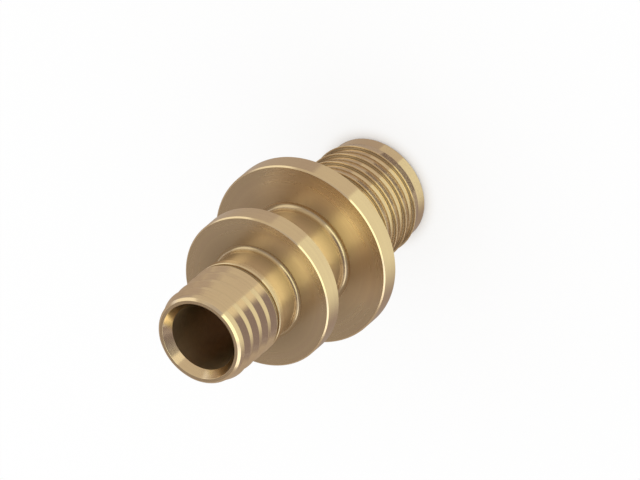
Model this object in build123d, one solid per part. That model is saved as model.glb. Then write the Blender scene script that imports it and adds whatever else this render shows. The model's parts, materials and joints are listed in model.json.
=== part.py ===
"""Reducing coupling for plastic pipe with sliding press sleeves, turned from one brass bar.

Two ribbed spigots of different size stand back to back.  Each ends at a round flange that
stops its press sleeve, and a waisted neck joins the two flanges.  The axis is Z: the large
spigot stands on Z = 0 and the small one points up.  All sizes are in millimetres.
"""
from build123d import *
import os
from dataclasses import dataclass
from math import radians, tan
from typing import NamedTuple


@dataclass
class Spigot:
    """One ribbed end, with its heights measured from its own mouth towards its flange."""

    length: float         # mouth to the face of the flange
    bore_radius: float
    wall: float           # bore to the plain surface between the ribs
    first_crest: float    # mouth to the first rib's crest
    rib_pitch: float
    rib_height: float
    ramp_length: float    # slope that leads the pipe up onto a rib
    land_height: float    # plain collar behind the last rib
    flange_width: float   # plain surface to the rim of the flange
    flange_fillet: float  # plain surface into the face of the flange

    @property
    def root_radius(self):
        """Plain surface between the ribs."""
        return self.bore_radius + self.wall

    @property
    def crest_radius(self):
        """Top of the ribs."""
        return self.root_radius + self.rib_height

    @property
    def land_radius(self):
        """Top of the collar."""
        return self.root_radius + self.land_height

    @property
    def flange_radius(self):
        """Rim of the flange that stops the press sleeve."""
        return self.root_radius + self.flange_width


# Driving dimensions
RIB_COUNT = 4
SMALL = Spigot(length=20.2, bore_radius=6.25, wall=2.11, first_crest=2.98, rib_pitch=3.05,
               rib_height=0.62, ramp_length=1.33, land_height=0.56, flange_width=6.2,
               flange_fillet=0.8)
LARGE = Spigot(length=23.05, bore_radius=7.85, wall=2.23, first_crest=4.55, rib_pitch=3.26,
               rib_height=0.53, ramp_length=1.95, land_height=0.47, flange_width=7.22,
               flange_fillet=1.1)

LAND_GAP = 1.0            # last crest to the collar
LAND_WIDTH = 1.4
LAND_CHAMFER = 0.15
FLANGE_THICKNESS = 4.0
RIM_CHAMFER = 0.27
NECK_LENGTH = 11.2        # between the flanges
NECK_WALL = 2.92          # small bore to the outside of the neck
NECK_FILLET = 1.1
MOUTH_CHAMFER = 0.45      # outer edge of each mouth
MOUTH_LEAD_DEPTH = 1.62   # cone inside each mouth, along the axis
MOUTH_LEAD_WIDTH = 1.08   # and across it
CREST_FLAT = 0.1          # narrow top of each rib
DRILL_OVERRUN = 1.0       # the wide bore runs this far into the large flange
DRILL_POINT_ANGLE = 118.0

# Sizes that follow from them
NECK_RADIUS = SMALL.bore_radius + NECK_WALL
LARGE_FLANGE_BACK = LARGE.length
LARGE_FLANGE_FRONT = LARGE_FLANGE_BACK + FLANGE_THICKNESS
SMALL_FLANGE_BACK = LARGE_FLANGE_FRONT + NECK_LENGTH
SMALL_FLANGE_FRONT = SMALL_FLANGE_BACK + FLANGE_THICKNESS
TOTAL_LENGTH = SMALL_FLANGE_FRONT + SMALL.length
WIDE_BORE_END = LARGE_FLANGE_BACK + DRILL_OVERRUN
BORE_CONE_END = WIDE_BORE_END + (LARGE.bore_radius - SMALL.bore_radius) / tan(
    radians(DRILL_POINT_ANGLE / 2))


class Corner(NamedTuple):
    """A corner of the half section, and the arc or the chamfer that finishes it."""

    radius: float
    height: float
    rounding: float = 0.0
    chamfer: float = 0.0


def spigot_corners(spigot):
    """Outside of a ribbed end, from its mouth at height 0 to the foot of its flange."""
    corners = [Corner(spigot.root_radius, 0.0, chamfer=MOUTH_CHAMFER)]
    for rib in range(RIB_COUNT):
        crest = spigot.first_crest + rib * spigot.rib_pitch
        corners += [
            Corner(spigot.root_radius, crest - spigot.ramp_length),
            Corner(spigot.crest_radius, crest - CREST_FLAT),
            Corner(spigot.crest_radius, crest),
            Corner(spigot.root_radius, crest),
        ]
    land_start = spigot.first_crest + (RIB_COUNT - 1) * spigot.rib_pitch + LAND_GAP
    land_end = land_start + LAND_WIDTH
    corners += [
        Corner(spigot.root_radius, land_start),
        Corner(spigot.land_radius, land_start, chamfer=LAND_CHAMFER),
        Corner(spigot.land_radius, land_end),
        Corner(spigot.root_radius, land_end),
        Corner(spigot.root_radius, spigot.length, rounding=spigot.flange_fillet),
    ]
    return corners


def flange_corners(spigot, back, front):
    """Rim of a flange between the heights of its two faces."""
    return [
        Corner(spigot.flange_radius, back, chamfer=RIM_CHAMFER),
        Corner(spigot.flange_radius, front, chamfer=RIM_CHAMFER),
    ]


def bore_corners():
    """Inside of the coupling, from the small mouth down to the large one."""
    return [
        Corner(SMALL.bore_radius + MOUTH_LEAD_WIDTH, TOTAL_LENGTH),
        Corner(SMALL.bore_radius, TOTAL_LENGTH - MOUTH_LEAD_DEPTH),
        Corner(SMALL.bore_radius, BORE_CONE_END),
        Corner(LARGE.bore_radius, WIDE_BORE_END),
        Corner(LARGE.bore_radius, MOUTH_LEAD_DEPTH),
        Corner(LARGE.bore_radius + MOUTH_LEAD_WIDTH, 0.0),
    ]


def coupling_corners():
    """Half section of the coupling: up the outside, over the small mouth and down the bore."""
    corners = spigot_corners(LARGE)
    corners += flange_corners(LARGE, LARGE_FLANGE_BACK, LARGE_FLANGE_FRONT)
    corners += [
        Corner(NECK_RADIUS, LARGE_FLANGE_FRONT, rounding=NECK_FILLET),
        Corner(NECK_RADIUS, SMALL_FLANGE_BACK, rounding=NECK_FILLET),
    ]
    corners += flange_corners(SMALL, SMALL_FLANGE_BACK, SMALL_FLANGE_FRONT)
    corners += [
        corner._replace(height=TOTAL_LENGTH - corner.height)
        for corner in reversed(spigot_corners(SMALL))
    ]
    return corners + bore_corners()


def section_face(corners):
    """Face in the XZ plane inside the corners, with each corner's arc or chamfer cut."""
    outline = Polyline(*[(corner.radius, corner.height) for corner in corners], close=True)
    face = make_face(Plane.XZ * outline)
    for corner in corners:
        vertex = face.vertices().sort_by_distance((corner.radius, 0, corner.height))[0]
        if corner.rounding > 0:
            face = fillet(vertex, corner.rounding)
        if corner.chamfer > 0:
            face = chamfer(vertex, corner.chamfer)
    return face


def coupling_body():
    """The turned body: its half section swept once round the axis."""
    return revolve(section_face(coupling_corners()), Axis.Z, 360)


os.makedirs("parts", exist_ok=True)
export_step(coupling_body(), "parts/coupling_body.step")
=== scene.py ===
"""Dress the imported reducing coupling: its turned brass surface, the studio and the camera."""
import json
import math
from typing import NamedTuple

import bpy
import numpy as np
from bpy.props import (
    FloatProperty, FloatVectorProperty, IntProperty, PointerProperty,
)
from mathutils import Matrix, Vector


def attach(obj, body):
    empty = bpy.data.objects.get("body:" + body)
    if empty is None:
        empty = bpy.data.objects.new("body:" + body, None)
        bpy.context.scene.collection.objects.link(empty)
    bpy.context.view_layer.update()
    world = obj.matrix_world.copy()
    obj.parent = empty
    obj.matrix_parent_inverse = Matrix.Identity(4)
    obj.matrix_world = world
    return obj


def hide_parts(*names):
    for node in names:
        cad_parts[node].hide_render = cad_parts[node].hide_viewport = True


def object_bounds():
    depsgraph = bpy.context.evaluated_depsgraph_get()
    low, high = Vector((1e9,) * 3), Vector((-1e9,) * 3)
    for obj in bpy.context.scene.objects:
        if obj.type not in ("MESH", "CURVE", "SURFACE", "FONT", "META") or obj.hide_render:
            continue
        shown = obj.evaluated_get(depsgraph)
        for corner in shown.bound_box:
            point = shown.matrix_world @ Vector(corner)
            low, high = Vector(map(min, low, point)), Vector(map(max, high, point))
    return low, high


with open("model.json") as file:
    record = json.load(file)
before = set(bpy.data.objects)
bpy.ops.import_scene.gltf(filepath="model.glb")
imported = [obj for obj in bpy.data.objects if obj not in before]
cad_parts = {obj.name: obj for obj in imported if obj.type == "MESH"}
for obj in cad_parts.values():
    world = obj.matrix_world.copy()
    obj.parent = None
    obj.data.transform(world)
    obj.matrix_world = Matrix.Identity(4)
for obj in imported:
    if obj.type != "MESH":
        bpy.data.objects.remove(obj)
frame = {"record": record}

bl_info = {
    "name": "Reducing coupling",
    "version": (1, 0, 0),
    "blender": (4, 5, 0),
    "location": "View3D > Sidebar > Coupling",
    "description": "Turned brass reducing coupling with two ribbed spigots, and its studio",
    "category": "Object",
}

BODY = "coupling_body"
CAD_LOW, CAD_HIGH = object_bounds()
MOUNTS = {mount["name"]: mount for mount in frame["record"]["mounts"]}
MM = 0.001
TINY = 1e-6                # stands in for a rounding or a fade of nothing


def mount_radius(name):
    """Radius of a round mount, in metres."""
    return MOUNTS[name]["dims"]["r_mm"] * MM


def mount_length(name):
    """Length of a mount along its axis, in metres."""
    return MOUNTS[name]["dims"]["length_mm"] * MM


def length(name, description, default):
    """A size in metres that a user may change."""
    return FloatProperty(name=name, description=description, default=default, unit="LENGTH",
                         precision=5)


def share(name, description, default):
    """A strength between nothing and full."""
    return FloatProperty(name=name, description=description, default=default, min=0.0, max=1.0,
                         subtype="FACTOR")


def colour(name, description, default):
    """A scene linear colour."""
    return FloatVectorProperty(name=name, description=description, default=default, size=3,
                               min=0.0, max=1.0, subtype="COLOR")


# Sizes and finishes

class SpigotSizes(bpy.types.PropertyGroup):
    """One ribbed end.  Heights are measured from its own mouth towards its flange."""

    wall: length("Wall", "Bore to the plain surface between the ribs", 2.11 * MM)
    first_crest: length("First crest", "Mouth to the crest of the first rib", 2.98 * MM)
    rib_pitch: length("Rib pitch", "Crest to crest", 3.05 * MM)
    rib_height: length("Rib height", "Plain surface to crest", 0.62 * MM)
    ramp_length: length("Ramp length", "Slope that leads up onto a rib", 1.33 * MM)
    land_height: length("Collar height", "Plain surface to the collar behind the ribs", 0.56 * MM)
    flange_width: length("Flange width", "Plain surface to the rim of the flange", 6.2 * MM)
    flange_fillet: length("Flange fillet", "Rounding at the foot of the flange", 0.8 * MM)


class BodySizes(bpy.types.PropertyGroup):
    """Sizes that both ends share, and the fineness of the surface."""

    rib_count: IntProperty(name="Ribs", description="Ribs on each end", default=4, min=1)
    land_gap: length("Collar gap", "Last crest to the collar", 1.0 * MM)
    land_width: length("Collar width", "Width of the collar", 1.4 * MM)
    flange_thickness: length("Flange thickness", "Thickness of each flange", 4.0 * MM)
    rim_chamfer: length("Rim chamfer", "Chamfer on both edges of each flange", 0.27 * MM)
    neck_wall: length("Neck wall", "Small bore to the outside of the neck", 2.92 * MM)
    neck_fillet: length("Neck fillet", "Rounding at both ends of the neck", 1.1 * MM)
    mouth_chamfer: length("Mouth chamfer", "Chamfer on each mouth's outer edge", 0.45 * MM)
    lead_depth: length("Lead depth", "Cone inside each mouth, along the axis", 1.62 * MM)
    lead_width: length("Lead width", "Cone inside each mouth, across the axis", 1.08 * MM)
    bore_cone: length("Bore cone", "Step between the bores, along the axis", 0.96 * MM)
    crest_flat: length("Crest flat", "Narrow top of each rib", 0.12 * MM)
    edge_break: length("Edge break", "Rounding that the tool leaves on sharp edges", 0.08 * MM)
    foot_fillet: length("Rib foot fillet", "Rounding that the tool leaves in corners", 0.2 * MM)
    segments: IntProperty(name="Segments", description="Facets round the axis", default=180, min=24)


class BrassFinish(bpy.types.PropertyGroup):
    """Colours and gloss of the turned brass."""

    clean: colour("Clean brass", "Freshly turned surface", (0.87, 0.72, 0.51))
    dull: colour("Dull brass", "Where the surface has begun to tarnish", (0.82, 0.66, 0.48))
    # Painted light: the flat faces take a paler, less golden colour than the turned brass, a painted
    # lightening of the reflections on them.
    faced: colour("Faced brass", "Flat faces, which the tool leaves paler", (0.88, 0.76, 0.58))
    faced_dull: colour("Dull faced brass", "Flat faces that have begun to tarnish", (0.83, 0.70, 0.55))
    # Painted shade: a dark colour laid into the concave corners and beside the fillets, where shade
    # falls.
    painted_corner_shade: colour("Grime", "What gathers in the corners behind the ribs", (0.17, 0.11, 0.045))
    # Paler brass on the edges: partly real polish, partly a painted highlight.
    polish_and_highlight: colour("Shine", "Edges that handling has polished", (0.90, 0.76, 0.54))
    turned_gloss: share("Turned gloss", "Roughness of the turned outside", 0.15)
    faced_gloss: share("Faced gloss", "Roughness of the flat faces", 0.30)
    bored_gloss: share("Bored gloss", "Roughness of the bore", 0.34)
    grain: share("Grain", "How far the turning marks stretch the highlights", 0.6)
    marks: share("Marks", "Depth of the turning marks", 0.10)
    # Strength of the polish and painted highlight on the edges, and of the painted shade in the
    # corners.
    wear_and_shade: share("Wear", "How far edges are polished and corners are grimy", 0.75)


class Studio(bpy.types.PropertyGroup):
    """Camera and lights."""

    camera_angle: FloatProperty(name="Camera angle", description="Between the axis and the view",
                                default=math.radians(41.3), unit="ROTATION")
    camera_roll: FloatProperty(name="Camera roll",
                               description="Turn of the upright axis in the picture",
                               default=math.radians(130.63), unit="ROTATION")
    lens: FloatProperty(name="Lens", description="Focal length in millimetres", default=1200.0)
    distance: length("Distance", "Camera to the object", 3.7632)
    aim_height: length("Aim height", "Point on the axis that the view is placed by", 26.9 * MM)
    aim_right: length("Aim right", "Where that point shows, right of the middle", -3.48 * MM)
    aim_up: length("Aim up", "Where that point shows, above the middle", -2.50 * MM)
    light: FloatProperty(name="Light", description="Strength of the even light", default=1.05, min=0.0)
    floor_size: length("Floor size", "Side of the floor", 4.0)
    floor_colour: colour("Floor", "White floor", (0.95, 0.95, 0.95))
    floor_glow: share("Floor glow", "Part of the floor's white that it gives off itself", 0.8)
    # Painted soft shadow: the floor's glow fades out inside these radii.
    shade_start: length("Shade start", "The floor gives off nothing nearer to the axis", 8 * MM)
    shade_end: length("Shade end", "It gives off its full glow from here on", 13 * MM)


# Outline of the body

ARC_STEP = 30              # degrees of turn to a step on the arc of an edge
FILLET_STEP = 9            # and on the arc of a fillet
FILLET = 0.3 * MM          # a rounding over this is a fillet
GUARD = 0.03 * MM          # polish or painted shade stays full this far beside an arc
WEAR_REACH = 0.25 * MM     # and is gone this far beside an edge
FILLET_SHADE_REACH = 4 * MM     # or this far beside a fillet
FILLET_CLAIM = 4.0         # a fillet's claim to a side, where the claim of an edge is 1
FADE_SHARE = 0.9           # part of a side that the polish or painted shade of its two corners may fill
SHARP_CORNER_SHADE = 0.8                # most painted shade in a sharp corner
FILLET_SHADE = 0.38           # most painted shade in a fillet
WORN_FROM = math.radians(22)   # a corner that turns less than this has no polish or painted shade
WORN_TO = math.radians(75)     # and one that turns more than this has all of it
COLLAR_EDGE = 3            # roundness of the collar's leading edge beside that of other edges
FACED_SLOPE = 0.02         # a faced row climbs or falls less than this for its width
BORED_SLOPE = 2            # a bored row falls more than this for its width
U_PER_METRE = 10           # units of U to a metre of the outline


class Outline(NamedTuple):
    """Half section as (radius, height) points, each with how far it lies on an edge or in a hollow."""

    points: np.ndarray
    edge: np.ndarray
    hollow: np.ndarray


def fade_lengths(fillet, other_fillet, straight):
    """How far the polish or painted shade at each corner fades out along one of its sides.

    The corner shares the straight part of the side with the corner at its other end.
    """
    limit = np.where(fillet, FILLET_SHADE_REACH, WEAR_REACH)
    claim = np.where(fillet, FILLET_CLAIM, 1.0)
    other_claim = np.where(other_fillet, FILLET_CLAIM, 1.0)
    return np.minimum(limit, FADE_SHARE * claim / (claim + other_claim) * straight)


def corner_polish_and_shade(turn, convex, fillet):
    """How far each corner is polished where it stands out, or darkened with painted shade where it is a
    hollow.
    """
    most = np.where(fillet, FILLET_SHADE, np.where(convex, 1.0, SHARP_CORNER_SHADE))
    return most * np.clip((turn - WORN_FROM) / (WORN_TO - WORN_FROM), 0, 1)


def rounded(corners):
    """Outline through corners (radius, height, rounding).

    Each corner becomes an arc that touches both of its sides: the arc's centre lies on the
    bisector at rounding / cos(half the turn), and its ends at rounding * tan(half the turn)
    from the corner.  Two more points before and after each arc keep the flats flat in shading
    and let the polish or painted shade at the corner fade out along its sides.
    """
    corners = np.asarray(corners, dtype=float)
    place, size = corners[:, :2], np.maximum(corners[:, 2], TINY)
    before = np.roll(place, 1, axis=0) - place
    after = np.roll(place, -1, axis=0) - place
    side_before = np.linalg.norm(before, axis=1)
    side_after = np.linalg.norm(after, axis=1)
    before /= side_before[:, None]
    after /= side_after[:, None]
    turn = np.pi - np.arccos(np.clip((before * after).sum(axis=1), -1, 1))
    reach = size * np.tan(turn / 2)
    bisector = (before + after) / np.linalg.norm(before + after, axis=1)[:, None]
    centre = place + bisector * (size / np.cos(turn / 2))[:, None]
    start = place + before * reach[:, None] - centre
    side = np.sign(before[:, 0] * after[:, 1] - before[:, 1] * after[:, 0])
    first = np.arctan2(start[:, 1], start[:, 0])
    convex = side < 0
    fillet = size > FILLET
    fade_before = fade_lengths(fillet, np.roll(fillet, 1), side_before - reach - np.roll(reach, 1))
    fade_after = fade_lengths(fillet, np.roll(fillet, -1), side_after - reach - np.roll(reach, -1))
    guard_before = np.minimum(GUARD, fade_before / 2)
    guard_after = np.minimum(GUARD, fade_after / 2)
    worn = corner_polish_and_shade(turn, convex, fillet)
    steps = 2 + np.rint(np.degrees(turn) / np.where(fillet, FILLET_STEP, ARC_STEP)).astype(int)
    points, edges, hollows = [], [], []
    for index, radius in enumerate(size):
        angle = first[index] - side[index] * turn[index] * np.linspace(0, 1, steps[index])
        arc = centre[index] + radius * np.stack([np.cos(angle), np.sin(angle)], axis=1)
        points += [
            arc[:1] + before[index] * fade_before[index],
            arc[:1] + before[index] * guard_before[index],
            arc,
            arc[-1:] + after[index] * guard_after[index],
            arc[-1:] + after[index] * fade_after[index],
        ]
        amount = np.concatenate([[0.0], np.full(steps[index] + 2, worn[index]), [0.0]])
        edges.append(amount * convex[index])
        hollows.append(amount * ~convex[index])
    return Outline(np.concatenate(points), np.concatenate(edges), np.concatenate(hollows))


def spigot_corners(spigot, body, bore_radius, spigot_length):
    """Outer corners of a ribbed end as (radius, height from the mouth, rounding)."""
    root = bore_radius + spigot.wall
    crest_radius = root + spigot.rib_height
    land_radius = root + spigot.land_height
    edge, foot = body.edge_break, body.foot_fillet
    corners = [(root - body.mouth_chamfer, 0.0, edge), (root, body.mouth_chamfer, edge)]
    for rib in range(body.rib_count):
        crest = spigot.first_crest + rib * spigot.rib_pitch
        corners += [
            (root, crest - spigot.ramp_length, edge),
            (crest_radius, crest - body.crest_flat, edge),
            (crest_radius, crest, edge),
            (root, crest, foot),
        ]
    land = spigot.first_crest + (body.rib_count - 1) * spigot.rib_pitch + body.land_gap
    corners += [
        (root, land, foot),
        (land_radius, land, COLLAR_EDGE * edge),
        (land_radius, land + body.land_width, edge),
        (root, land + body.land_width, foot),
        (root, spigot_length, spigot.flange_fillet),
    ]
    return corners


def flange_corners(radius, back, front, body):
    """Rim of a flange between its two faces, with a chamfer on both edges."""
    chamfer, edge = body.rim_chamfer, body.edge_break
    return [
        (radius - chamfer, back, edge),
        (radius, back + chamfer, edge),
        (radius, front - chamfer, edge),
        (radius - chamfer, front, edge),
    ]


def body_corners(scene):
    """Corners of the half section: up the outside, over the small mouth and down the bore."""
    body, large, small = scene.coupling_body, scene.coupling_large, scene.coupling_small
    wide_bore, narrow_bore = mount_radius("large_bore"), mount_radius("small_bore")
    large_length, small_length = mount_length("large_spigot"), mount_length("small_spigot")
    top = CAD_HIGH.z
    large_front = large_length + body.flange_thickness
    small_front = top - small_length
    small_back = small_front - body.flange_thickness
    large_rim = wide_bore + large.wall + large.flange_width
    small_rim = narrow_bore + small.wall + small.flange_width
    neck_radius = narrow_bore + body.neck_wall
    wide_end = body.lead_depth + mount_length("large_bore")
    edge = body.edge_break

    corners = spigot_corners(large, body, wide_bore, large_length)
    corners += flange_corners(large_rim, large_length, large_front, body)
    corners += [
        (neck_radius, large_front, body.neck_fillet),
        (neck_radius, small_back, body.neck_fillet),
    ]
    corners += flange_corners(small_rim, small_back, small_front, body)
    corners += [
        (radius, top - height, rounding)
        for radius, height, rounding in reversed(spigot_corners(small, body, narrow_bore, small_length))
    ]
    corners += [
        (narrow_bore + body.lead_width, top, edge),
        (narrow_bore, top - body.lead_depth, edge),
        (narrow_bore, wide_end + body.bore_cone, edge),
        (wide_bore, wide_end, edge),
        (wide_bore, body.lead_depth, edge),
        (wide_bore + body.lead_width, 0.0, edge),
    ]
    return corners


def revolved(name, outline, segments):
    """Surface of revolution: point (i, j) is outline point i turned by j / segments of a turn."""
    turn = np.linspace(0, 2 * np.pi, segments, endpoint=False)
    radius, height = outline.points[:, :1], outline.points[:, 1:]
    points = np.stack([
        radius * np.cos(turn),
        radius * np.sin(turn),
        np.broadcast_to(height, (len(radius), segments)),
    ], axis=-1).reshape(-1, 3)
    row = np.arange(len(radius))[:, None] * segments
    next_row = np.roll(row, -1, axis=0)
    column = np.arange(segments)[None, :]
    next_column = np.roll(column, -1, axis=1)
    quads = np.stack([
        row + column, row + next_column, next_row + next_column, next_row + column,
    ], axis=-1).reshape(-1, 4)

    mesh = bpy.data.meshes.new(name)
    mesh.vertices.add(len(points))
    mesh.vertices.foreach_set("co", points.ravel())
    mesh.loops.add(quads.size)
    mesh.loops.foreach_set("vertex_index", quads.ravel())
    mesh.polygons.add(len(quads))
    mesh.polygons.foreach_set("loop_start", np.arange(0, quads.size, 4))
    mesh.polygons.foreach_set("loop_total", np.full(len(quads), 4))
    mesh.polygons.foreach_set("use_smooth", np.ones(len(quads), dtype=bool))
    mesh.update(calc_edges=True)
    unwrap(mesh, outline.points, segments)
    # Per point: edge polish with its painted highlight, and painted shade in the hollows.
    for layer, worn in (("edge", outline.edge), ("hollow", outline.hollow)):
        attribute = mesh.attributes.new(layer, "FLOAT", "POINT")
        attribute.data.foreach_set("value", np.repeat(worn, segments).astype(np.float32))
    mesh.polygons.foreach_set("material_index", np.repeat(cut_rows(outline.points), segments))
    piece = bpy.data.objects.new(name, mesh)
    bpy.context.scene.collection.objects.link(piece)
    return piece


def cut_rows(points):
    """How each row of the surface was cut: 0 turned, 1 faced square to the axis, 2 bored.

    The outline climbs the outside and comes down the bore, so only bored rows go straight down.
    The cones inside the bore slope too far and count as turned.
    """
    step = np.roll(points, -1, axis=0) - points
    width = np.abs(step[:, 0])
    faced = np.abs(step[:, 1]) < FACED_SLOPE * width
    bored = step[:, 1] < -BORED_SLOPE * width
    return np.where(bored, 2, np.where(faced, 1, 0)).astype(np.int32)


def unwrap(mesh, outline, segments):
    """Lay the surface out flat: U runs along the outline and V once round the axis."""
    step = np.linalg.norm(np.roll(outline, -1, axis=0) - outline, axis=1)
    along = np.concatenate([[0.0], np.cumsum(step)]) * U_PER_METRE
    row = np.arange(len(outline))[:, None, None]
    column = np.arange(segments)[None, :, None]
    u = along[row + np.array([0, 0, 1, 1])] + 0 * column
    v = (column + np.array([0, 1, 1, 0])) / segments + 0 * row
    layer = mesh.uv_layers.new(name="turned")
    layer.uv.foreach_set("vector", np.stack([u, v], axis=-1).astype(np.float32).ravel())


# Finishes

WAVE_HEIGHT = 0.25         # height of the fine spiral beside that of the streaks
CLOUD_SHARE = 0.7          # how far cloudy patches dull the metal
STREAK_SHARE = 0.5         # and how far streaks do
DULL_FROM = 0.45           # the metal is clean where the two come to less than this
DULL_TO = 0.80             # and dull where they come to more than this
CLEAN_ROUGH = 0.85         # part of a cut's roughness that clean metal has
DULL_ROUGH = 0.25          # part of it that dullness adds
SHINE_ROUGH = 0.6          # part of it that polish takes off
CORNER_SHADE_ROUGH = 0.2          # roughness added where shade is painted in the hollows
MARK_DEPTH = 0.01 * MM     # depth of the turning marks at full strength
FACED_DEPTH = 0.4          # their strength on flat faces, where that on round ones is 1
MIX_SHARE, MIX_FIRST, MIX_SECOND, MIX_RESULT = 0, 6, 7, 2   # sockets of a mix node for colours


def new_group(name, inputs, outputs):
    """Empty shader node group.  Sockets are (name, kind) pairs, of kind Float, Color or Vector."""
    group = bpy.data.node_groups.new(name, "ShaderNodeTree")
    for socket, kind in inputs:
        group.interface.new_socket(socket, in_out="INPUT", socket_type="NodeSocket" + kind)
    for socket, kind in outputs:
        group.interface.new_socket(socket, in_out="OUTPUT", socket_type="NodeSocket" + kind)
    return group, group.nodes.new("NodeGroupInput"), group.nodes.new("NodeGroupOutput")


def math_node(tree, operation, *values):
    """Math node over sockets or plain numbers, as its output socket."""
    node = tree.nodes.new("ShaderNodeMath")
    node.operation = operation
    for socket, value in zip(node.inputs, values):
        if isinstance(value, (int, float)):
            socket.default_value = value
        else:
            tree.links.new(value, socket)
    return node.outputs[0]


def blended(tree, share_socket, first, second):
    """Colour between two colour sockets."""
    node = tree.nodes.new("ShaderNodeMix")
    node.data_type = "RGBA"
    tree.links.new(share_socket, node.inputs[MIX_SHARE])
    tree.links.new(first, node.inputs[MIX_FIRST])
    tree.links.new(second, node.inputs[MIX_SECOND])
    return node.outputs[MIX_RESULT]


def placed_group(tree, name, **values):
    """Node for a group, with values on its inputs."""
    node = tree.nodes.new("ShaderNodeGroup")
    node.node_tree = bpy.data.node_groups[name]
    for socket, value in values.items():
        node.inputs[socket].default_value = value if isinstance(value, (int, float)) else (*value, 1.0)
    return node


def turning_marks_group():
    """Marks of a turning tool, on the piece's own flat layout.

    The fine mark is a sine of the length along the outline plus the share of a turn, so it
    winds round the axis as one spiral.  The streaks are noise along the outline alone.
    """
    group, given, result = new_group(
        "turning_marks",
        (("Along", "Float"), ("Round", "Float"), ("Feed", "Float"), ("Bands", "Float")),
        (("Height", "Float"), ("Streak", "Float")))
    wound = math_node(group, "MULTIPLY_ADD", given.outputs["Along"], given.outputs["Feed"],
                      given.outputs["Round"])
    wave = math_node(group, "SINE", math_node(group, "MULTIPLY", wound, 2 * math.pi))
    streak = group.nodes.new("ShaderNodeTexNoise")
    streak.noise_dimensions = "1D"
    streak.inputs["Scale"].default_value = 1.0
    streak.inputs["Detail"].default_value = 4.0
    streak.inputs["Roughness"].default_value = 0.6
    banded = math_node(group, "MULTIPLY", given.outputs["Along"], given.outputs["Bands"])
    group.links.new(banded, streak.inputs["W"])
    height = math_node(group, "MULTIPLY_ADD", wave, WAVE_HEIGHT, streak.outputs["Fac"])
    group.links.new(height, result.inputs["Height"])
    group.links.new(streak.outputs["Fac"], result.inputs["Streak"])


def brass_tone_group():
    """Colour of the metal: clean brass that cloudy patches and streaks dull."""
    group, given, result = new_group(
        "brass_tone",
        (("Position", "Vector"), ("Streak", "Float"), ("Clean", "Color"), ("Dull", "Color")),
        (("Color", "Color"), ("Dullness", "Float")))
    cloud = group.nodes.new("ShaderNodeTexNoise")
    cloud.inputs["Scale"].default_value = 95.0
    cloud.inputs["Detail"].default_value = 3.0
    group.links.new(given.outputs["Position"], cloud.inputs["Vector"])
    cloudy = math_node(group, "MULTIPLY", cloud.outputs["Fac"], CLOUD_SHARE)
    mixed = math_node(group, "MULTIPLY_ADD", given.outputs["Streak"], STREAK_SHARE, cloudy)
    spread = group.nodes.new("ShaderNodeMapRange")
    spread.inputs["From Min"].default_value = DULL_FROM
    spread.inputs["From Max"].default_value = DULL_TO
    group.links.new(mixed, spread.inputs["Value"])
    dullness = spread.outputs["Result"]
    metal = blended(group, dullness, given.outputs["Clean"], given.outputs["Dull"])
    group.links.new(metal, result.inputs["Color"])
    group.links.new(dullness, result.inputs["Dullness"])


def edge_polish_and_corner_shade_group():
    """Polish on the edges in a paler colour that is partly a painted highlight, and painted shade in
    the hollows, from the piece's edge and hollow values.
    """
    group, given, result = new_group(
        "edge_polish_and_corner_shade",
        (("Color", "Color"), ("Shine", "Color"), ("Grime", "Color"), ("Amount", "Float")),
        (("Color", "Color"), ("Edge", "Float"), ("Hollow", "Float")))
    edge, hollow = group.nodes.new("ShaderNodeAttribute"), group.nodes.new("ShaderNodeAttribute")
    edge.attribute_name, hollow.attribute_name = "edge", "hollow"
    polished = math_node(group, "MULTIPLY", edge.outputs["Fac"], given.outputs["Amount"])
    # Painted shade: the hollows darken towards the corner shade colour.
    corner_shade_share = math_node(group, "MULTIPLY", hollow.outputs["Fac"], given.outputs["Amount"])
    # Edges blend towards the paler polish colour, which is partly a painted highlight.
    lit = blended(group, polished, given.outputs["Color"], given.outputs["Shine"])
    group.links.new(blended(group, corner_shade_share, lit, given.outputs["Grime"]), result.inputs["Color"])
    group.links.new(polished, result.inputs["Edge"])
    group.links.new(corner_shade_share, result.inputs["Hollow"])


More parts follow.
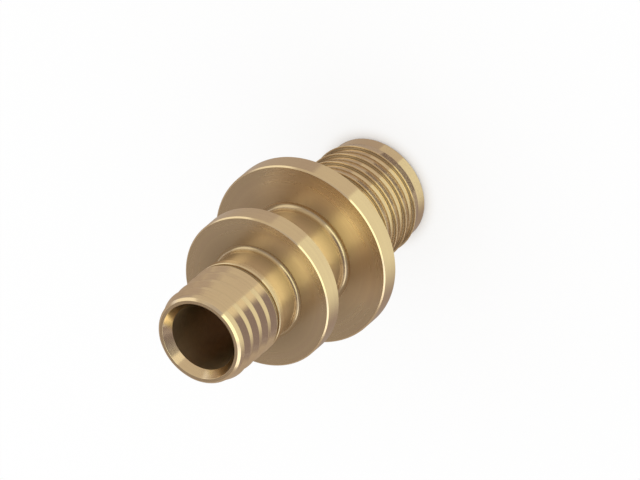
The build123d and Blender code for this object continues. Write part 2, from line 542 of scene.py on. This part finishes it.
def brass_material(name, finish, tones, gloss, grain, feed, bands, depth=1.0):
    """Brass as one kind of cut leaves it, from the three groups.

    Feed is how often the spiral winds round, and bands how many streaks there are, to a unit of U.
    """
    material = bpy.data.materials.new(name)
    material.use_nodes = True
    tree = material.node_tree
    nodes, links = tree.nodes, tree.links
    shader = nodes["Principled BSDF"]
    shader.inputs["Metallic"].default_value = 1.0
    shader.inputs["Anisotropic"].default_value = grain
    tangent = nodes.new("ShaderNodeTangent")
    tangent.direction_type = "UV_MAP"
    tangent.uv_map = "turned"
    links.new(tangent.outputs["Tangent"], shader.inputs["Tangent"])

    layout = nodes.new("ShaderNodeUVMap")
    layout.uv_map = "turned"
    split = nodes.new("ShaderNodeSeparateXYZ")
    links.new(layout.outputs["UV"], split.inputs["Vector"])
    place = nodes.new("ShaderNodeTexCoord")

    marks = placed_group(tree, "turning_marks", Feed=feed, Bands=bands)
    links.new(split.outputs["X"], marks.inputs["Along"])
    links.new(split.outputs["Y"], marks.inputs["Round"])
    tone = placed_group(tree, "brass_tone", Clean=tones[0], Dull=tones[1])
    links.new(place.outputs["Object"], tone.inputs["Position"])
    links.new(marks.outputs["Streak"], tone.inputs["Streak"])
    wear_and_shade = placed_group(tree, "edge_polish_and_corner_shade", Shine=finish.polish_and_highlight, Grime=finish.painted_corner_shade, Amount=finish.wear_and_shade)
    links.new(tone.outputs["Color"], wear_and_shade.inputs["Color"])
    links.new(wear_and_shade.outputs["Color"], shader.inputs["Base Color"])

    dulled = math_node(tree, "MULTIPLY_ADD", tone.outputs["Dullness"], DULL_ROUGH * gloss,
                       CLEAN_ROUGH * gloss)
    # Roughness rises where the corner shade is painted.
    corner_shade_roughness = math_node(tree, "MULTIPLY_ADD", wear_and_shade.outputs["Hollow"], CORNER_SHADE_ROUGH, dulled)
    polished = math_node(tree, "MULTIPLY_ADD", wear_and_shade.outputs["Edge"], -SHINE_ROUGH * gloss, corner_shade_roughness)
    links.new(polished, shader.inputs["Roughness"])
    bump = nodes.new("ShaderNodeBump")
    bump.inputs["Strength"].default_value = finish.marks * depth
    bump.inputs["Distance"].default_value = MARK_DEPTH
    links.new(marks.outputs["Height"], bump.inputs["Height"])
    links.new(bump.outputs["Normal"], shader.inputs["Normal"])
    return material


def brass_materials(finish):
    """Materials in the order that the rows name them: turned, faced and bored."""
    turning_marks_group()
    brass_tone_group()
    edge_polish_and_corner_shade_group()
    # The flat faces get the paler tones, a painted lightening of their reflections.
    round_tones, flat_tones = (finish.clean, finish.dull), (finish.faced, finish.faced_dull)
    return (
        brass_material("turned_brass", finish, round_tones, finish.turned_gloss, finish.grain,
                       feed=800.0, bands=160.0),
        brass_material("faced_brass", finish, flat_tones, finish.faced_gloss, 0.0,
                       feed=650.0, bands=110.0, depth=FACED_DEPTH),
        brass_material("bored_brass", finish, round_tones, finish.bored_gloss, finish.grain,
                       feed=500.0, bands=90.0),
    )


# Stage

CARD_FOOT = 0.5 * MM       # no card reaches lower than this


class Card(NamedTuple):
    """A curved glowing sheet round the axis that paints a reflection into the metal; only reflections
    show it, and it lights nothing.

    It runs through the azimuths start to end (0 towards -Y, 90 towards +X) and through the
    elevations low to high as seen from the object's middle, at one distance from it.  Each
    edge fades out over its own angle.  All angles are in degrees.
    """

    name: str
    start: float
    end: float
    low: float
    high: float
    distance: float
    colour: tuple
    fade_start: float = 6.0
    fade_end: float = 6.0
    fade_low: float = 4.0
    fade_high: float = 6.0


# Painted reflections: bright cards paint the highlights in the metal, and dark ones its dark
# reflections.
CARDS = (
    Card("card_key", -70, 11, 25, 55, 0.60, (1.56, 1.56, 1.15), fade_start=16, fade_end=2, fade_low=3,
         fade_high=10),
    Card("card_key_low", -118, -52, 10, 34, 0.61, (1.56, 1.51, 1.31), fade_start=8, fade_high=6),
    Card("card_kick", -142, -108, -6, 18, 0.60, (1.17, 1.09, 0.857), fade_start=10),
    Card("card_sky", -90, 14, 36, 66, 0.64, (0.547, 0.548, 0.361), fade_start=50, fade_high=14),
    Card("card_strip", 72, 124, 8, 57, 0.60, (1.04, 0.982, 0.794), fade_end=16, fade_high=14),
    Card("card_tan", 9, 82, -12, 44, 0.50, (0.62, 0.544, 0.416), fade_start=2, fade_end=10,
         fade_high=10),
    Card("card_tan_top", 5, 75, 36, 64, 0.66, (0.475, 0.438, 0.419), fade_high=14),
    Card("card_low", -30, 12, -14, 28, 0.55, (0.81, 0.719, 0.505), fade_start=2, fade_end=2),
    Card("card_dark", -100, 0, -12, 20, 0.45, (0.264, 0.213, 0.212), fade_start=14, fade_end=20),
    Card("card_dark_top", -78, -8, 8, 27, 0.46, (0.147, 0.118, 0.108), fade_start=14, fade_end=10,
         fade_high=5),
    Card("card_side", 66, 180, -8, 12, 0.50, (0.456, 0.382, 0.317)),
    Card("card_other_side", -180, -90, -8, 18, 0.50, (0.456, 0.382, 0.317)),
    Card("card_back", 104, 258, 14, 62, 0.70, (0.33, 0.265, 0.201), fade_start=10, fade_end=10),
    Card("card_ceiling", -180, 180, 34, 90, 0.80, (0.322, 0.274, 0.225), fade_start=0, fade_end=0,
         fade_low=8, fade_high=0),
)


def by_degree(start, end):
    """Angles from start to end, about a degree apart."""
    return np.linspace(start, end, int(end - start) + 2)


def faded(place, start, end, fade_start, fade_end):
    """One inside start to end, falling smoothly to nothing over a fade at either edge."""
    rise = np.clip((place - start) / max(fade_start, TINY), 0, 1)
    fall = np.clip((end - place) / max(fade_end, TINY), 0, 1)
    ramp = rise * fall
    return ramp * ramp * (3 - 2 * ramp)


def standing_card(card):
    """Patch of a sphere: point (i, j) lies at azimuth i and elevation j, but above the floor."""
    centre = (CAD_LOW.z + CAD_HIGH.z) / 2
    azimuth = by_degree(card.start, card.end)[:, None]
    elevation = by_degree(card.low, card.high)[None, :]
    turn, rise = np.radians(azimuth), np.radians(elevation)
    points = np.stack([
        card.distance * np.cos(rise) * np.sin(turn),
        -card.distance * np.cos(rise) * np.cos(turn),
        np.maximum(centre + card.distance * np.sin(rise), CARD_FOOT) + 0 * turn,
    ], axis=-1)
    cover = (faded(azimuth, card.start, card.end, card.fade_start, card.fade_end)
             * faded(elevation, card.low, card.high, card.fade_low, card.fade_high))
    return painted_reflection(card.name, [(points, cover)], card.colour)


class PaintedFloor(NamedTuple):
    """A glowing sheet on the floor round the object that paints the reflected floor, with the shade on
    it, into the metal; only reflections show it.

    It lies where the object's upright walls reflect the view down onto the floor.  Start and
    end are the directions of those reflections, in degrees, and the sheet fades out at both.
    A folded sheet stands up in low rings near the object, and reflections that come down
    steeply fall between them.
    """

    name: str
    start: float
    end: float
    colour: tuple
    fade_start: float = 0.0
    fade_end: float = 0.0
    inner: float = 10.2 * MM
    outer: float = 520 * MM
    folded: float = 0.0


# Painted shadow and shade on the reflected floor: the darkest sheet lies under the object, and the
# brown and dark ones lie where shade falls. The cream and tan ones paint the floor's reflection in
# lighter tones.
PAINTED_FLOORS = (
    PaintedFloor("painted_shadow_under", -180, 180, (0.156, 0.113, 0.108), inner=0.01 * MM, outer=19.5 * MM),
    PaintedFloor("painted_shade_near", -180, -60, (0.355, 0.289, 0.249), outer=110 * MM),
    PaintedFloor("painted_shade_far", -180, -92, (0.456, 0.382, 0.317), fade_end=12, inner=80 * MM),
    PaintedFloor("painted_shade_side", 52, 180, (0.456, 0.382, 0.317)),
    PaintedFloor("painted_floor_tan", 8, 62, (0.62, 0.544, 0.416), fade_start=3, fade_end=5, inner=19 * MM,
          folded=10.32 * MM),
    PaintedFloor("painted_floor_tan_far", 52, 114, (0.62, 0.544, 0.416), fade_start=4, fade_end=11, inner=51 * MM,
          outer=250 * MM),
    PaintedFloor("painted_floor_cream", -118, 14, (0.832, 0.796, 0.583), fade_start=56, fade_end=3, inner=19 * MM,
          folded=10.30 * MM),
    PaintedFloor("painted_shadow_far", -112, -20, (0.283, 0.227, 0.216), fade_start=16, fade_end=16, inner=200 * MM),
)
FOLD_PITCH = 0.2 * MM      # from one ring of a folded sheet to the next
FOLD_HEIGHT = 0.31 * MM    # top of the rings above the floor
SHEET_STEP = 0.01 * MM     # each sheet lies this much higher than the one before
SHEET_RINGS = 40           # rings of points on the flat part
SHEET_FADE = 0.05          # part of a sheet's outer radius over which it fades out
WALL_RADIUS = 10 * MM      # typical radius of the walls that reflect the papers


def laid_painted_floor(painted_floor, level):
    """Flat part ring by ring outwards, and each upright ring: point (i, j) at direction i, step j.

    A ray that leaves the wall at half its direction's angle runs past the axis at the wall's
    radius times the sine of that half, so on the floor it lies behind its direction by the
    angle whose sine is that distance over the floor's radius.
    """
    direction = by_degree(painted_floor.start, painted_floor.end)[:, None]
    cover = faded(direction, painted_floor.start, painted_floor.end, painted_floor.fade_start, painted_floor.fade_end)
    turn = np.radians(direction)

    def sheet(radius, height, shown):
        """Grid of points at these radii and heights, and how much of each shows."""
        lag = np.arcsin(np.clip(WALL_RADIUS * np.sin(turn / 2) / radius, -1, 1))
        points = np.stack([
            radius * np.sin(turn - lag),
            -radius * np.cos(turn - lag),
            height + 0 * turn,
        ], axis=-1)
        return points, cover * shown

    flat = np.geomspace(painted_floor.inner, painted_floor.outer, SHEET_RINGS)[None, :]
    sheets = [sheet(flat, level + 0 * flat, faded(flat, 0, painted_floor.outer, 0, SHEET_FADE * painted_floor.outer))]
    if painted_floor.folded:
        upright = np.array([[level, FOLD_HEIGHT]])
        sheets += [
            sheet(radius + 0 * upright, upright, 1 + 0 * upright)
            for radius in np.arange(painted_floor.folded, painted_floor.inner, FOLD_PITCH)
        ]
    return painted_reflection(painted_floor.name, sheets, painted_floor.colour)


def painted_reflection(name, sheets, tint):
    """Glowing piece over several grids of points, each with how much of it shows."""
    points = np.concatenate([grid.reshape(-1, 3) for grid, cover in sheets])
    covers = np.concatenate([cover.ravel() for grid, cover in sheets])
    faces, first = [], 0
    for grid, cover in sheets:
        faces.append(first + grid_quads(*grid.shape[:2]))
        first += cover.size
    piece = flat_piece(name, points, np.concatenate(faces))
    attribute = piece.data.attributes.new("cover", "FLOAT", "POINT")
    attribute.data.foreach_set("value", covers.astype(np.float32))
    piece.data.materials.append(glow_material(name, tint))
    # Seen only in reflections: the glow paints reflections into the metal and lights nothing.
    piece.visible_camera = piece.visible_diffuse = piece.visible_shadow = False
    return piece


def grid_quads(rows, columns):
    """Faces between the points of a grid."""
    corner = (np.arange(rows - 1)[:, None] * columns + np.arange(columns - 1)[None, :]).ravel()
    return np.stack([corner, corner + columns, corner + columns + 1, corner + 1], axis=-1)


def flat_piece(name, points, quads):
    """Piece with flat faces."""
    mesh = bpy.data.meshes.new(name)
    mesh.from_pydata(points, [], quads.tolist())
    piece = bpy.data.objects.new(name, mesh)
    bpy.context.scene.collection.objects.link(piece)
    return piece


def glow_material(name, tint):
    """Even glow that thins out to nothing where the piece fades."""
    material = bpy.data.materials.new(name)
    material.use_nodes = True
    nodes, links = material.node_tree.nodes, material.node_tree.links
    nodes.clear()
    cover = nodes.new("ShaderNodeAttribute")
    cover.attribute_name = "cover"
    glow = nodes.new("ShaderNodeEmission")
    glow.inputs["Color"].default_value = (*tint, 1.0)
    clear = nodes.new("ShaderNodeBsdfTransparent")
    mix = nodes.new("ShaderNodeMixShader")
    output = nodes.new("ShaderNodeOutputMaterial")
    share_socket, first, second = mix.inputs
    links.new(cover.outputs["Fac"], share_socket)
    links.new(clear.outputs["BSDF"], first)
    links.new(glow.outputs["Emission"], second)
    links.new(mix.outputs["Shader"], output.inputs["Surface"])
    return material


def lit_world(scene, studio):
    """Even white light from everywhere, which is the backdrop as well."""
    world = bpy.data.worlds.new("studio")
    world.use_nodes = True
    background = world.node_tree.nodes["Background"]
    background.inputs["Color"].default_value = (1.0, 1.0, 1.0, 1.0)
    background.inputs["Strength"].default_value = studio.light
    scene.world = world


def white_floor(studio):
    """White sheet under the object that glows, but for a soft patch round the axis where the glow fades
    out: a painted soft shadow under the object.
    """
    reach = studio.floor_size / 2
    points = np.array([(x, y, 0.0) for x in (-reach, reach) for y in (-reach, reach)])
    floor = flat_piece("floor", points, grid_quads(2, 2))
    material = bpy.data.materials.new("floor_white")
    material.use_nodes = True
    nodes, links = material.node_tree.nodes, material.node_tree.links
    shader = nodes["Principled BSDF"]
    shader.inputs["Roughness"].default_value = 1.0
    shader.inputs["Specular IOR Level"].default_value = 0.0
    shader.inputs["Emission Strength"].default_value = 1.0
    place = nodes.new("ShaderNodeTexCoord")
    away = nodes.new("ShaderNodeVectorMath")
    away.operation = "LENGTH"
    links.new(place.outputs["Object"], away.inputs[0])
    # Painted soft shadow: the glow fades out towards the axis under the object.
    clear = nodes.new("ShaderNodeMapRange")
    clear.interpolation_type = "SMOOTHERSTEP"
    clear.inputs["From Min"].default_value = studio.shade_start
    clear.inputs["From Max"].default_value = studio.shade_end
    links.new(away.outputs["Value"], clear.inputs["Value"])
    glow = studio.floor_glow
    rest_of_white = [(1 - glow) * part for part in studio.floor_colour]
    for socket, near, far in (
        ("Base Color", studio.floor_colour, rest_of_white),
        ("Emission Color", (0.0, 0.0, 0.0), [glow] * 3),
    ):
        mix = nodes.new("ShaderNodeMix")
        mix.data_type = "RGBA"
        mix.inputs[MIX_FIRST].default_value = (*near, 1.0)
        mix.inputs[MIX_SECOND].default_value = (*far, 1.0)
        links.new(clear.outputs["Result"], mix.inputs[MIX_SHARE])
        links.new(mix.outputs[MIX_RESULT], shader.inputs[socket])
    floor.data.materials.append(material)
    return floor


def place_camera(scene):
    """A long lens looks down on the small mouth, rolled so that the axis lies across the picture."""
    studio = scene.coupling_studio
    angle, roll = studio.camera_angle, studio.camera_roll
    back = Vector((0, -math.sin(angle), math.cos(angle)))
    level_right = Vector((1, 0, 0))
    level_up = back.cross(level_right)
    right = level_right * math.cos(roll) - level_up * math.sin(roll)
    up = level_right * math.sin(roll) + level_up * math.cos(roll)
    data = bpy.data.cameras.new("camera")
    data.lens = studio.lens
    data.clip_start, data.clip_end = 0.1, 10.0
    camera = bpy.data.objects.new("camera", data)
    aim = Vector((0, 0, studio.aim_height)) - right * studio.aim_right - up * studio.aim_up
    turn = Matrix((right, up, back)).transposed().to_4x4()
    camera.matrix_world = Matrix.Translation(aim + back * studio.distance) @ turn
    scene.collection.objects.link(camera)
    scene.camera = camera


# Operators

class COUPLING_OT_body(bpy.types.Operator):
    """Turn the coupling's body from its outline"""

    bl_idname = "coupling.body"
    bl_label = "Make the body"

    def execute(self, context):
        scene = context.scene
        outline = rounded(body_corners(scene))
        piece = revolved("turned_body", outline, scene.coupling_body.segments)
        for material in brass_materials(scene.coupling_finish):
            piece.data.materials.append(material)
        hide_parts(BODY)
        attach(piece, "root")
        return {"FINISHED"}


class COUPLING_OT_stage(bpy.types.Operator):
    """Lay the floor, set the cards round the object and place the camera"""

    bl_idname = "coupling.stage"
    bl_label = "Make the stage"

    def execute(self, context):
        scene = context.scene
        studio = scene.coupling_studio
        scene.view_settings.view_transform = "Standard"
        lit_world(scene, studio)
        white_floor(studio)
        for card in CARDS:
            standing_card(card)
        for index, painted_floor in enumerate(PAINTED_FLOORS, start=1):
            laid_painted_floor(painted_floor, index * SHEET_STEP)
        place_camera(scene)
        return {"FINISHED"}


class COUPLING_PT_panel(bpy.types.Panel):
    """Lists the pieces in the sidebar"""

    bl_idname = "COUPLING_PT_panel"
    bl_label = "Reducing coupling"
    bl_space_type = "VIEW_3D"
    bl_region_type = "UI"
    bl_category = "Coupling"

    def draw(self, context):
        """One button for each piece and one for the stage."""
        for operator in OPERATORS:
            self.layout.operator(operator.bl_idname)


PROPERTY_GROUPS = {
    "coupling_small": SpigotSizes,
    "coupling_large": SpigotSizes,
    "coupling_body": BodySizes,
    "coupling_finish": BrassFinish,
    "coupling_studio": Studio,
}
OPERATORS = (COUPLING_OT_body, COUPLING_OT_stage)
CLASSES = (*dict.fromkeys(PROPERTY_GROUPS.values()), *OPERATORS, COUPLING_PT_panel)


def register():
    """Add the classes, and the settings to every scene."""
    for item in CLASSES:
        bpy.utils.register_class(item)
    for name, group in PROPERTY_GROUPS.items():
        setattr(bpy.types.Scene, name, PointerProperty(type=group))


def unregister():
    """Take the settings and the classes away."""
    for name in PROPERTY_GROUPS:
        delattr(bpy.types.Scene, name)
    for item in reversed(CLASSES):
        bpy.utils.unregister_class(item)


def main():
    """Make the coupling and its stage, with the large end's own sizes."""
    register()
    large = bpy.context.scene.coupling_large
    large.wall = 2.23 * MM
    large.first_crest = 4.55 * MM
    large.rib_pitch = 3.26 * MM
    large.rib_height = 0.53 * MM
    large.ramp_length = 1.95 * MM
    large.land_height = 0.47 * MM
    large.flange_width = 7.22 * MM
    large.flange_fillet = 1.1 * MM
    bpy.ops.coupling.body()
    bpy.ops.coupling.stage()


if __name__ == "__main__":
    main()
